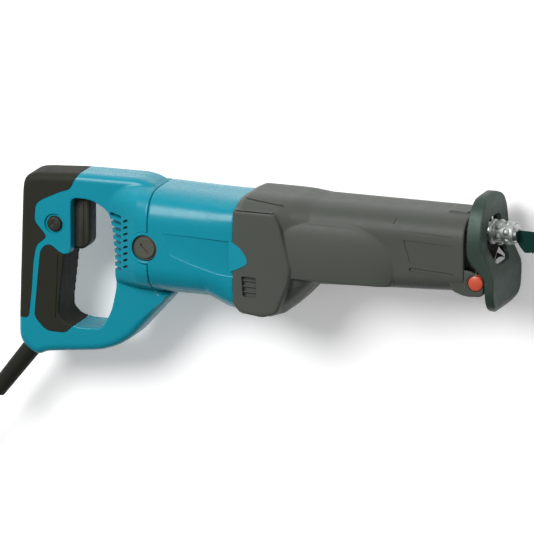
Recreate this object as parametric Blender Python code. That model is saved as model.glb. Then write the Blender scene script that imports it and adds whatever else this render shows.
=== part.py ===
"""Corded reciprocating saw, lying on its left side, with its cord wound into a coil.

The saw is drawn in its own tool frame, in millimetres: X runs forward from the back of the
handle, Y to the tool's left, Z up from the plunger's axis. The empty saw_frame lays that frame
on its side, so the tool's left faces the ground and the tool's up is world +Y.
"""
from math import asin, cos, pi, radians, sin

import bmesh
import bpy
from mathutils import Vector

MM = 0.001
GAP = 0.3                     # clearance between pieces that meet

# Overall layout (mm, tool frame)
BODY_HALF_WIDTH = 45.0        # the cover's flat sides, on which the saw lies
SAW_LENGTH = 600.0            # back of the handle to the blade's tip
SAW_TOP, SAW_BOTTOM = 30.5, -149.0

# Handle
GRIP_HALF_WIDTH = 19.0
HANDLE_WALL = 5.0
HANDLE_OUTLINE = [(131, 15.5), (115, 20.6), (58, 20), (13, 17), (6, 12), (4, 5), (0, -115),
                  (0, -135), (9, -145), (19, -149), (25, -145), (77, -139), (92, -134),
                  (106, -125), (146, -80.5), (131, -79.2)]
HAND_HOLE = [(50.5, -2), (66, -2), (74, -4), (86, -11), (90, -25), (93.5, -50), (93.5, -78),
             (89, -100), (80, -118), (58, -119), (45, -116), (38, -108), (43, -64), (44, -53),
             (50.5, -53)]
REAR_GRIP = [(-5, 25), (62, 25), (52.5, 14), (49.7, 7), (40, 2.7), (21.6, -6.4), (17, -11.4),
             (16, -26), (28, -39.3), (17.8, -47.5), (15, -62), (13, -90), (10.3, -114.4),
             (-5, -114.8)]
GRIP_PANEL = [(30, -45), (22, -51), (19.5, -76), (16, -113), (27, -124.5), (45, -125),
              (50, -120), (57, -114), (50, -60), (42, -54)]
PAD_DEPTH = 2.7

# Motor
MOTOR_Z = -35.0
BRUSH_X = 128.5
COVER_X = 212.0               # where the motor housing meets the gear housing and its cover

# Gears: helical pinion cut on the armature shaft, and the driven gear below it
MODULE = 1.0
PINION_TEETH, GEAR_TEETH = 7, 44
CENTRE_DISTANCE = MODULE * (PINION_TEETH + GEAR_TEETH) / 2
GEAR_Z = MOTOR_Z - CENTRE_DISTANCE

# Wobble drive and plunger
STROKE = 28.0
WOBBLE_X = 247.0
ARM_LENGTH = -GEAR_Z
ARM_SWING = asin(STROKE / 2 / ARM_LENGTH)
PLUNGER_RADIUS = 8.0

# Shoe
SHOE_PIVOT = (431.5, -8.0)
SHOE_HALF_WIDTH = 36.5

# Cord
CORD_RADIUS = 4.0
GUARD_START = (9.0, -142.5)
GUARD_ANGLE = radians(232)    # in the tool's XZ plane, from +X towards +Z
GUARD_LENGTH = 60.0
CORD_DROPS = [(0, 0), (10, 0), (20, 0.3), (32, 2.2), (44, 6.6), (56, 12.9), (68, 19.8), (80, 26.8),
              (92, 33), (102, 37.4), (110, 39.8), (117, 40.8), (123, 41)]
COIL_CENTRE = (-170.8, -275.2)
TAIL_RADIUS = 60.0            # from the coil's centre to its outermost turn
COIL_INNER, COIL_OUTER, COIL_HEIGHT = 29.0, 64.0, 16.0

COLOURS = {
    "teal_plastic": ((0.006, 0.25, 0.36), 0.38, 0.0),
    "black_rubber": ((0.065, 0.062, 0.055), 0.75, 0.0),
    "cover_rubber": ((0.075, 0.077, 0.075), 0.6, 0.0),
    "aluminium": ((0.62, 0.63, 0.64), 0.42, 1.0),
    "steel": ((0.5, 0.5, 0.52), 0.3, 1.0),
    "shoe_steel": ((0.12, 0.14, 0.14), 0.5, 0.6),
    "copper": ((0.75, 0.33, 0.14), 0.35, 1.0),
    "carbon": ((0.03, 0.03, 0.03), 0.8, 0.0),
    "black_plastic": ((0.02, 0.02, 0.02), 0.5, 0.0),
    "orange_plastic": ((0.75, 0.12, 0.05), 0.4, 0.0),
    "blade_paint": ((0.004, 0.1, 0.08), 0.35, 0.1),
    "cord_rubber": ((0.02, 0.02, 0.02), 0.65, 0.0),
    "brass": ((0.75, 0.55, 0.2), 0.35, 1.0),
}


def clear_scene():
    for item in list(bpy.data.objects):
        bpy.data.objects.remove(item, do_unlink=True)


def material(name):
    """The named material, made once."""
    found = bpy.data.materials.get(name)
    if found:
        return found
    colour, roughness, metallic = COLOURS[name]
    made = bpy.data.materials.new(name)
    made.use_nodes = True
    shader = made.node_tree.nodes["Principled BSDF"]
    shader.inputs["Base Color"].default_value = (*colour, 1.0)
    shader.inputs["Roughness"].default_value = roughness
    shader.inputs["Metallic"].default_value = metallic
    return made


def empty(name, location=(0, 0, 0), parent=None):
    made = bpy.data.objects.new(name, None)
    bpy.context.collection.objects.link(made)
    made.location = Vector(location) * MM
    made.parent = parent
    return made


def piece(name, points, faces, look, origin=(0, 0, 0), parent=None):
    """A mesh object from points in the tool frame (mm), with its origin where asked."""
    start = Vector(origin)
    mesh = bpy.data.meshes.new(name)
    mesh.from_pydata([(Vector(p) - start) * MM for p in points], [], faces)
    body = bmesh.new()
    body.from_mesh(mesh)
    bmesh.ops.connect_verts_nonplanar(body, angle_limit=1e-4, faces=body.faces)
    bmesh.ops.recalc_face_normals(body, faces=body.faces)
    body.to_mesh(mesh)
    body.free()
    mesh.shade_smooth()
    mesh.set_sharp_from_angle(angle=radians(32))
    made = bpy.data.objects.new(name, mesh)
    bpy.context.collection.objects.link(made)
    made.location = start * MM
    made.parent = parent or bpy.data.objects["saw_frame"]
    if look:
        mesh.materials.append(material(look))
    else:
        made.hide_render = True
        made.display_type = 'WIRE'
    return made


def boolean(target, tool, operation):
    step = target.modifiers.new(operation.lower(), 'BOOLEAN')
    step.operation = operation
    step.object = tool
    step.solver = 'EXACT'


def cut(target, *tools):
    for tool in tools:
        boolean(target, tool, 'DIFFERENCE')


def unite(target, *tools):
    for tool in tools:
        boolean(target, tool, 'UNION')


def keep_within(target, tool):
    boolean(target, tool, 'INTERSECT')


# Shapes

def stacked(name, rings, look, closed=False, **where):
    """A skin over rings of equal point count; the ends are capped unless it closes on itself."""
    count = len(rings[0])
    points = [p for ring in rings for p in ring]
    faces = []
    pairs = len(rings) if closed else len(rings) - 1
    for i in range(pairs):
        a, b = i * count, (i + 1) % len(rings) * count
        for k in range(count):
            n = (k + 1) % count
            faces.append((a + k, a + n, b + n, b + k))
    if not closed:
        faces.append(tuple(range(count)))
        faces.append(tuple(range(len(points) - count, len(points))))
    return piece(name, points, faces, look, **where)


def prism(name, outline, y_low, y_high, look=None, rim=0.0, **where):
    """An outline in the XZ plane between two Y values, its rims chamfered if asked."""
    if rim:
        inner = inset(outline, rim)
        layers = [(inner, y_low), (outline, y_low + rim), (outline, y_high - rim), (inner, y_high)]
    else:
        layers = [(outline, y_low), (outline, y_high)]
    return stacked(name, [[(x, y, z) for x, z in line] for line, y in layers], look, **where)


def box(name, low, high, look=None, **where):
    outline = [(low[0], low[2]), (high[0], low[2]), (high[0], high[2]), (low[0], high[2])]
    return prism(name, outline, low[1], high[1], look, **where)


def inset(outline, distance):
    """The outline moved inwards by a distance, or outwards where the distance is negative."""
    corners = [Vector(p) for p in outline]
    area = sum(a.x * b.y - b.x * a.y for a, b in zip(corners, corners[1:] + corners[:1]))
    turn = 1 if area > 0 else -1
    moved = []
    for i, corner in enumerate(corners):
        before = (corner - corners[i - 1]).normalized()
        after = (corners[(i + 1) % len(corners)] - corner).normalized()
        side = Vector((-before.y, before.x)) * turn
        middle = (side + Vector((-after.y, after.x)) * turn).normalized()
        moved.append(tuple(corner + middle * distance / max(middle.dot(side), 0.5)))
    return moved


def on_axis(axis, along, radius, angle, centre):
    """A point at a radius and an angle about an axis along X or Y through the centre."""
    if axis == "X":
        return (along, centre[0] + radius * sin(angle), centre[1] + radius * cos(angle))
    return (centre[0] + radius * sin(angle), along, centre[1] + radius * cos(angle))


def turned(name, profile, look, axis="X", centre=(0, 0), steps=24, **where):
    """A closed profile of (along, radius) turned about an axis."""
    rings = []
    for i in range(steps):
        angle = 2 * pi * i / steps
        rings.append([on_axis(axis, along, radius, angle, centre) for along, radius in profile])
    return stacked(name, rings, look, closed=True, **where)


def rod(name, start, end, radius, look=None, axis="X", centre=(0, 0), steps=24, **where):
    rings = [[on_axis(axis, along, radius, 2 * pi * i / steps, centre) for i in range(steps)]
             for along in (start, end)]
    return stacked(name, rings, look, **where)


def stepped_rod(name, profile, look, axis="X", centre=(0, 0), steps=24, **where):
    """A solid bar of (along, radius) steps."""
    rings = [[on_axis(axis, along, radius, 2 * pi * i / steps, centre) for i in range(steps)]
             for along, radius in profile]
    return stacked(name, rings, look, **where)


def ring(name, start, end, inner, outer, look, **where):
    profile = [(start, inner), (end, inner), (end, outer), (start, outer)]
    return turned(name, profile, look, **where)


def toothed_ring(name, outline, bore, start, end, centre, look, **where):
    """A wheel along X: its outline as (radius, angle) pairs, with a round bore."""
    outer = [on_axis("X", 0, radius, angle, centre) for radius, angle in outline]
    inner = [on_axis("X", 0, bore, angle, centre) for _, angle in outline]
    rings = [[(x, y, z) for _, y, z in line]
             for line, x in ((outer, start), (outer, end), (inner, end), (inner, start))]
    return stacked(name, rings, look, closed=True, **where)


def teeth(count, thickness):
    """A spur wheel's outline. Thickness is a tooth's share of the pitch at its middle."""
    pitch_radius = MODULE * count / 2
    tip, root = pitch_radius + 0.8 * MODULE, pitch_radius - 1.15 * MODULE
    pitch = 2 * pi / count
    corners = [(root, -0.5 * thickness - 0.09), (tip, -0.5 * thickness + 0.1),
               (tip, 0.5 * thickness - 0.1), (root, 0.5 * thickness + 0.09)]
    return [(radius, pitch * (i + share)) for i in range(count) for radius, share in corners]


def full_section(half):
    """A closed section in YZ from the corners of its left half, top to bottom."""
    return [(y, z) for y, z in half] + [(-y, z) for y, z in reversed(half)]


def casing(name, stations, look, thinner=0.0, **where):
    """A skin over sections at given X, each drawn in by the same amount."""
    rings = [[(x, y, z) for y, z in inset(full_section(half), thinner)] for x, half in stations]
    return stacked(name, rings, look, **where)


# Handle

TAIL = [(88, [(8, 12), (15, 8), (19, 0), (19, -10), (19, -60), (19, -72), (12, -78)]),
        (104, [(12, 16), (22, 12), (28, 3), (29, -10), (29, -58), (26, -72), (14, -79)]),
        (118, [(15, 16), (27, 12), (35, 4), (37, -8), (37, -58), (31, -72), (17, -79)]),
        (131, [(16, 14.5), (28, 12), (36, 5), (41, -6), (41, -58), (33, -72), (18, -78.5)])]
SCREW_PLACES = [(12, 7), (88, 12), (9.2, -119.9), (100, -122)]
SCREW_HEAD_Y = GRIP_HALF_WIDTH - 4.3


def handle_solid(name, look=None):
    """The outer form of both handle shells together, without the hand hole's cut."""
    solid = prism(name, HANDLE_OUTLINE, -GRIP_HALF_WIDTH, GRIP_HALF_WIDTH, look, rim=4.0)
    unite(solid, casing(name + "_tail", TAIL, None))
    return solid


def handle_cutters():
    """Everything that is cut from both shells: hand hole, cavity, vents and holes."""
    hole = prism("hand_hole", HAND_HOLE, -60, 60)
    reach = GRIP_HALF_WIDTH - HANDLE_WALL
    cavity = prism("handle_cavity", inset(HANDLE_OUTLINE, HANDLE_WALL), -reach, reach)
    open_tail = TAIL[:-1] + [(140, TAIL[-1][1])]
    unite(cavity, casing("tail_cavity", open_tail, None, thinner=3.5))
    cut(cavity, prism("hand_hole_wall", inset(HAND_HOLE, -3.2), -60, 60))
    cut(cavity, box("rear_bulkhead", (95, -60, -140), (98, 60, -80)))
    for i, (x, z) in enumerate(SCREW_PLACES):
        cut(cavity, rod(f"screw_boss_{i}", -60, 60, 4.6, axis="Y", centre=(x, z), steps=12))
    cutters = [hole, cavity]
    vents = [box(f"vent_{i}", (86, -50, -13.7 - 5.9 * i), (107.3, 50, -10.9 - 5.9 * i)) for i in range(9)]
    cutters += vents
    cutters.append(rod("brush_boss_clearance", -60, 60, 14.8, axis="Y", centre=(BRUSH_X, MOTOR_Z)))
    cutters.append(box("trigger_opening", (40, -9.5, -51.8), (60, 9.5, -1.2)))
    cutters.append(guard_rod("guard_bore", -11, 16, 8.9))
    return cutters


def guard_point(along):
    return (GUARD_START[0] + along * cos(GUARD_ANGLE), 0.0,
            GUARD_START[1] + along * sin(GUARD_ANGLE))


def guard_rod(name, start, end, *radii, look=None, sides=20, **where):
    """A round bar along the guard's axis, from its first radius to its last."""
    steps = max(len(radii) - 1, 1)
    shown = radii if len(radii) > 1 else radii * 2
    rings = []
    for i, radius in enumerate(shown):
        x, _, z = guard_point(start + (end - start) * i / steps)
        ring_points = []
        for k in range(sides):
            angle = 2 * pi * k / sides
            across = radius * cos(angle)
            ring_points.append((x - across * sin(GUARD_ANGLE), radius * sin(angle),
                                z + across * cos(GUARD_ANGLE)))
        rings.append(ring_points)
    return stacked(name, rings, look, **where)


def split_at_middle(target, side):
    """Keeps the half of a piece on one side of the tool's middle plane."""
    low, high = (GAP / 2, 80) if side > 0 else (-80, -GAP / 2)
    keep_within(target, box(f"{target.name}_half", (-20, low, -170), (170, high, 60)))


def make_handle():
    cutters = handle_cutters()
    pad_bed = prism("rear_grip_bed", inset(REAR_GRIP, -GAP), -40, 40)
    depth = PAD_DEPTH + GAP
    cut(pad_bed, prism("rear_grip_core", inset(HANDLE_OUTLINE, depth),
                       depth - GRIP_HALF_WIDTH, GRIP_HALF_WIDTH - depth))
    core = prism("rear_grip_inner", inset(HANDLE_OUTLINE, PAD_DEPTH),
                 PAD_DEPTH - GRIP_HALF_WIDTH, GRIP_HALF_WIDTH - PAD_DEPTH)
    hole_rim = prism("hand_hole_rim", inset(HAND_HOLE, -1.5), -60, 60)
    head_holes = [rod(f"screw_recess_{i}", SCREW_HEAD_Y, 60, 4.2, axis="Y",
                      centre=place, steps=12) for i, place in enumerate(SCREW_PLACES)]
    shank_holes = [rod(f"screw_hole_{i}", -10, 60, 2.1, axis="Y", centre=place, steps=12)
                   for i, place in enumerate(SCREW_PLACES)]
    for side, word in ((-1, "right"), (1, "left")):
        shell = handle_solid(f"handle_{word}", "teal_plastic")
        cut(shell, *cutters, pad_bed)
        face = side * GRIP_HALF_WIDTH
        inner, outer = face - side * PAD_DEPTH, face + side * 5
        bed = prism(f"grip_bed_{word}", inset(GRIP_PANEL, -GAP),
                    *sorted((inner - side * GAP, outer)))
        cut(bed, hole_rim)
        cut(shell, bed, *shank_holes)
        if side > 0:
            cut(shell, *head_holes)
        else:
            cut(shell, rod("lock_button_bore", -40, -10, 7.1, axis="Y", centre=(35, -27)))
        split_at_middle(shell, side)

        pad = prism(f"rear_grip_{word}", HANDLE_OUTLINE, -GRIP_HALF_WIDTH, GRIP_HALF_WIDTH,
                    "black_rubber", rim=4.0)
        keep_within(pad, prism(f"rear_grip_area_{word}", REAR_GRIP, -40, 40))
        cut(pad, core)
        if side > 0:
            cut(pad, head_holes[0])
        split_at_middle(pad, side)

        panel = prism(f"grip_panel_{word}", GRIP_PANEL, *sorted((inner, face)), "black_rubber")
        cut(panel, prism(f"panel_edge_{word}", inset(HAND_HOLE, -1.8), -60, 60))

    for i, (x, z) in enumerate(SCREW_PLACES):
        head = SCREW_HEAD_Y + GAP
        stepped_rod(f"handle_screw_{i + 1}", [(-9, 1.7), (head, 1.7), (head, 3.8),
                                              (head + 2.4, 3.4)],
                    "steel", axis="Y", centre=(x, z), steps=12)


def make_controls():
    x, z = 52, -27
    pull = empty("trigger_axis", (x, 0, z), bpy.data.objects["saw_frame"])
    outline = [(47, -3), (58, -2.6), (63, -5), (64.5, -12), (64, -44), (62, -49), (58, -50.8),
               (47, -50)]
    local = [(px - x, pz - z) for px, pz in outline]
    prism("trigger", local, -8.8, 8.8, "black_rubber", rim=2.0, parent=pull)
    box("switch_body", (14, -8, -62), (39, 8, -12), "black_plastic")
    turned_cap("lock_button", -20.5, -12.5, 6.7, "black_rubber", (35, -27))


def turned_cap(name, outer, inner, radius, look, centre):
    """A short round button along Y with a softened outer rim, its origin on its axis."""
    step = 0.9 if inner > outer else -0.9
    rings = []
    for along, reach in ((outer, radius - 0.9), (outer + step, radius), (inner, radius)):
        rings.append([on_axis("Y", along, reach, 2 * pi * i / 24, centre) for i in range(24)])
    return stacked(name, rings, look, origin=(centre[0], (outer + inner) / 2, centre[1]))


# Motor

MOTOR_STATIONS = [
    (131.3, [(16, 14.5), (28, 12), (36, 5), (41, -6), (41, -58), (33, -72), (18, -78.5)]),
    (184, [(16, 13), (28, 11), (37, 5), (42, -6), (42, -58), (34, -72), (18, -78.5)]),
    (200, [(16, 12.5), (28, 11), (38, 5), (42.5, -5), (42.5, -60), (36, -77), (20, -86)]),
    (COVER_X, [(17, 12.5), (29, 11), (38, 5.5), (42.5, -4), (42.5, -64), (38, -80), (22, -88)])]


def make_motor():
    axis = (0.0, MOTOR_Z)
    housing = casing("motor_housing", MOTOR_STATIONS, "teal_plastic")
    inside = [(120, MOTOR_STATIONS[0][1])] + MOTOR_STATIONS[1:-1] + [(230, MOTOR_STATIONS[-1][1])]
    cut(housing, casing("motor_cavity", inside, None, thinner=3.0))
    rear = stepped_rod("rear_barrel", [(107, 16), (115, 16), (115, 26), (133.1, 26)], None,
                       centre=axis)
    ribs = rod("rear_wall", 131.8, 134.4, 50, centre=axis, steps=30)
    keep_within(ribs, casing("rear_wall_area", [(128, MOTOR_STATIONS[0][1]),
                                                (140, MOTOR_STATIONS[0][1])], None, thinner=1.0))
    unite(housing, ribs, rear)
    for side in (-1, 1):
        unite(housing, rod(f"brush_boss_{side}", side * 24, side * 40.5, 14.4, axis="Y",
                           centre=(BRUSH_X, MOTOR_Z)))
    cut(housing, rod("rear_barrel_bore", 115.6, 140, 22.5, centre=axis, steps=28),
        rod("rear_bearing_bore", 107.8, 116, 11.3, centre=axis),
        rod("brush_bore", -60, 60, 6.9, axis="Y", centre=(BRUSH_X, MOTOR_Z)))
    for side in (-1, 1):
        cut(housing, rod(f"cap_bore_{side}", side * 34, side * 60, 11.9, axis="Y",
                         centre=(BRUSH_X, MOTOR_Z)))

    field = [(36.2 if i % 6 else 35.2, 2 * pi * i / 48) for i in range(48)]
    toothed_ring("field_core", field, 23.5, 148, 192, axis, "steel")
    for word, start, end in (("rear", 143.3, 147.6), ("front", 192.4, 196.8)):
        ring(f"field_coil_{word}", start, end, 25, 34, "copper", centre=axis)
    for word, start in (("rear", 108.2), ("front", 213.6)):
        ring(f"motor_bearing_{word}", start, start + 7, 5.3, 11, "steel", centre=axis)
    for side, word in ((-1, "right"), (1, "left")):
        centre = (BRUSH_X, MOTOR_Z)
        ring(f"brush_holder_{word}", side * 17.5, side * 33.4, 4.9, 6.6, "brass", axis="Y",
             centre=centre, steps=16)
        rod(f"carbon_brush_{word}", side * 13.0, side * 26, 4.5, "carbon", axis="Y",
            centre=centre, steps=12)
        cap = turned_cap(f"brush_cap_{word}", side * 40.2, side * 34.4, 11.5, "black_plastic",
                         centre)
        slot = box(f"cap_slot_{word}", (-7, -2, -0.9), (7, 2, 0.9))
        slot.location = Vector((BRUSH_X, side * 41, MOTOR_Z)) * MM
        slot.rotation_euler.y = radians(45)
        cut(cap, slot)


def make_armature():
    pivot = empty("armature_axis", (0, 0, MOTOR_Z), bpy.data.objects["saw_frame"])
    here = {"centre": (0, 0), "parent": pivot}
    shaft = stepped_rod("armature_shaft", [(108.4, 4.8), (223.6, 4.8), (223.6, 2.2), (235, 2.2)],
                        "steel", steps=20, **here)
    pinion = toothed_ring("pinion_teeth", teeth(PINION_TEETH, 0.4), 1.4, 224.2, 234.4, (0, 0),
                          None, parent=pivot)
    unite(shaft, pinion)
    slots = []
    for i in range(12):
        for reach, share in ((22.6, -0.36), (22.6, 0.36), (19.0, 0.42), (19.0, 0.58)):
            slots.append((reach, 2 * pi * (i + share) / 12))
    toothed_ring("armature_core", slots, 5.1, 149, 191, (0, 0), "steel", parent=pivot)
    bars = [(12.7 if i % 2 else 12.2, 2 * pi * i / 24) for i in range(24)]
    toothed_ring("commutator", bars, 5.1, 119, 137, (0, 0), "copper", parent=pivot)
    fan = ring("cooling_fan", 205.5, 207.5, 5.1, 33, "black_plastic", **here)
    vanes = []
    for i in range(12):
        for reach, share in ((32, -0.09), (32, 0.09), (12, 0.3), (12, 0.7)):
            vanes.append((reach, 2 * pi * (i + share) / 12))
    unite(fan, toothed_ring("fan_vanes", vanes, 5.1, 198, 206, (0, 0), None, parent=pivot))


# Gear housing, drive and plunger

def front_half(top, bottom, width, keel):
    """A left half section from its top, bottom, half-width and keel half-width."""
    return [(17, top), (28, top - 2.5), (width - 3, top - 9), (width, top - 17),
            (width, bottom + 13), (width - 6, bottom + 4), (keel, bottom)]


PANEL_HALF = [(20, 18), (30, 16), (42, 9.5), (45, 4), (45, -66), (41, -82), (24, -91)]
COVER_STATIONS = [
    (COVER_X + GAP, [(18, 15), (29, 12.5), (39, 6.5), (43.5, 0), (43.5, -64), (39, -80),
                     (22, -88.5)]),
    (219, PANEL_HALF), (240, PANEL_HALF),
    (252, [(20, 18), (30, 16), (42, 9.5), (45, 4), (45, -66), (40, -78), (22, -87)]),
    (264, [(20, 18), (30, 15.5), (38, 9), (40.5, 2), (40.5, -58), (36, -69), (20, -76)]),
    (281, front_half(16.8, -58, 37, 18)),
    (424.5, front_half(17, -51, 37, 18))]
COVER_WALL, CASTING_WALL = 3.0, 2.6
COVER_FIT = 1.1                # between the cover and the casting, also on its slopes
NOSE_RADIUS = 13.4


def make_front():
    cover = casing("front_cover", COVER_STATIONS, "cover_rubber")
    inside = [(200, COVER_STATIONS[0][1])] + COVER_STATIONS[1:-1] + [(440, COVER_STATIONS[-1][1])]
    cut(cover, casing("cover_cavity", inside, None, thinner=COVER_WALL))
    cheek = [(419, -30), (432, -30), (440, -37), (442, -44), (442, -54), (424, -54), (419, -50)]
    for side in (-1, 1):
        unite(cover, prism(f"nose_cheek_{side}", cheek, *sorted((side * 27, side * 34.6))))
    cut(cover, rod("shoe_button_bore", -60, -20, 7.3, axis="Y", centre=(435, -39)))

    shell = [(COVER_X + 0.8, COVER_STATIONS[0][1])] + COVER_STATIONS[1:-1]
    shell += [(300, front_half(16.8, -57, 37, 18))]
    housing = casing("gear_housing", shell, "aluminium", thinner=COVER_WALL + COVER_FIT)
    hollow = [(200, COVER_STATIONS[0][1])] + COVER_STATIONS[1:-2]
    hollow += [(294, front_half(16.8, -57.5, 37, 18))]
    cavity = casing("casting_cavity", hollow, None, thinner=COVER_WALL + COVER_FIT + CASTING_WALL)
    cut(cavity, rod("wobble_bearing_boss", 256, 310, 12.4, centre=(0, GEAR_Z + 2)))
    cut(housing, cavity)
    unite(housing, rod("nose_tube", 297, 423, NOSE_RADIUS),
          box("nose_web", (296, -5, -42.5), (420, 5, -11)))
    cut(housing, rod("plunger_bore", 280, 388, 11.0), rod("nose_bore", 404, 430, 11.8, steps=28),
        rod("guide_bore", 387, 405, 11.3),
        rod("wobble_bearing_seat", 250, 265, 9.3, centre=(0, GEAR_Z)))
    outline = inset(full_section(COVER_STATIONS[1][1]), COVER_WALL + CASTING_WALL + COVER_FIT + 1.5)
    plate = stacked("gear_plate", [[(x, y, z) for y, z in outline] for x in (214.2, 221.6)],
                    "aluminium")
    cut(plate, rod("plate_motor_seat", 212, 221, 11.3, centre=(0, MOTOR_Z)),
        rod("plate_shaft_hole", 210, 225, 6.0, centre=(0, MOTOR_Z)),
        rod("plate_wobble_seat", 215.6, 223, 9.3, centre=(0, GEAR_Z)))
    ring("wobble_bearing_rear", 215.9, 221.6, 4.3, 9, "steel", centre=(0, GEAR_Z))
    ring("wobble_bearing_front", 258.0, 264.7, 4.3, 9, "steel", centre=(0, GEAR_Z))
    ring("plunger_bush_rear", 296, 312, PLUNGER_RADIUS + GAP, 10.7, "brass")
    ring("plunger_bush_front", 388.4, 399.4, PLUNGER_RADIUS + GAP, 11.0, "brass")
    ring("dust_seal", 399.7, 403.7, PLUNGER_RADIUS + GAP, 11.0, "black_rubber")


def make_drive():
    pivot = empty("wobble_shaft_axis", (0, 0, GEAR_Z), bpy.data.objects["saw_frame"])
    stepped_rod("wobble_shaft", [(216.5, 4), (237.5, 4), (237.5, 6), (241.5, 6),
                                         (241.5, 11), (252.5, 11), (252.5, 6), (256.5, 6),
                                         (256.5, 4), (264.5, 4)], "steel", parent=pivot)
    toothed_ring("drive_gear", teeth(GEAR_TEETH, 0.4), 4.3, 225, 233.6, (0, 0), "steel",
                 parent=pivot)

    rock = empty("wobble_arm_axis", (WOBBLE_X, 0, GEAR_Z), bpy.data.objects["saw_frame"])
    rock.rotation_euler.y = ARM_SWING
    arm = ring("wobble_arm", -4, 4, 13.4, 17.5, "steel", parent=rock)
    unite(arm, ball("arm_ball", 5.0, ARM_LENGTH, rock), neck("arm_neck", 15.5, rock))


def ball(name, radius, height, parent):
    """A ball above its parent's origin."""
    profile = [(-radius, 0.0)] + [(-radius * cos(pi * i / 8), radius * sin(pi * i / 8))
                                  for i in range(1, 8)] + [(radius, 0.0)]
    points, faces = [], []
    steps = 14
    for along, reach in profile[1:-1]:
        for i in range(steps):
            angle = 2 * pi * i / steps
            points.append((reach * cos(angle), reach * sin(angle), height + along))
    low, high = len(points), len(points) + 1
    points += [(0, 0, height - radius), (0, 0, height + radius)]
    rows = len(profile) - 2
    for i in range(steps):
        n = (i + 1) % steps
        faces.append((low, n, i))
        faces.append((high, (rows - 1) * steps + i, (rows - 1) * steps + n))
        for row in range(rows - 1):
            a, b = row * steps, (row + 1) * steps
            faces.append((a + i, a + n, b + n, b + i))
    return piece(name, points, faces, None, parent=parent)


def neck(name, start, parent):
    """The arm's tapered stem, from its ring up to its ball."""
    rings = []
    for height, reach in ((start, 4.5), (ARM_LENGTH - 14, 3.4), (ARM_LENGTH - 10, 2.7),
                          (ARM_LENGTH - 2, 2.7)):
        rings.append([(reach * cos(2 * pi * i / 12), reach * sin(2 * pi * i / 12), height)
                      for i in range(12)])
    return stacked(name, rings, None, parent=parent)


def make_plunger():
    end = 436.0
    ball_x = WOBBLE_X + STROKE / 2
    frame = empty("plunger_axis", (0, 0, 0), bpy.data.objects["saw_frame"])
    rod_piece = stepped_rod("plunger", [(ball_x + 6, PLUNGER_RADIUS), (end, PLUNGER_RADIUS)],
                            "steel", parent=frame)
    yoke = box("plunger_yoke", (ball_x - 9.5, -9, -9), (ball_x + 9.5, 9, 9), parent=frame)
    unite(rod_piece, yoke)
    cut(rod_piece, box("yoke_slot", (ball_x - 5.6, -5.6, -12), (ball_x + 5.6, 5.6, 6.2),
                       parent=frame))
    blade_slot = box("blade_slot", (440, -0.95, -9.3), (470, 0.95, 4.3), parent=frame)
    clamp = stepped_rod("clamp_body", [(end + GAP, 8.4), (461, 8.4), (462.5, 7)], "steel",
                        parent=frame)
    cut(clamp, blade_slot)
    ring("clamp_sleeve", 438, 459.5, 8.8, 11.0, "steel", parent=frame)
    blade = [(441, -6), (441, 3), (466, 3), (597, 1), (600, -3), (592, -17), (468, -17),
             (464, -12), (461.5, -8)]
    prism("saw_blade", blade, -0.6, 0.6, "blade_paint", parent=frame)


# Shoe

def from_pivot(outline):
    return [(x - SHOE_PIVOT[0], z - SHOE_PIVOT[1]) for x, z in outline]


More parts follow.
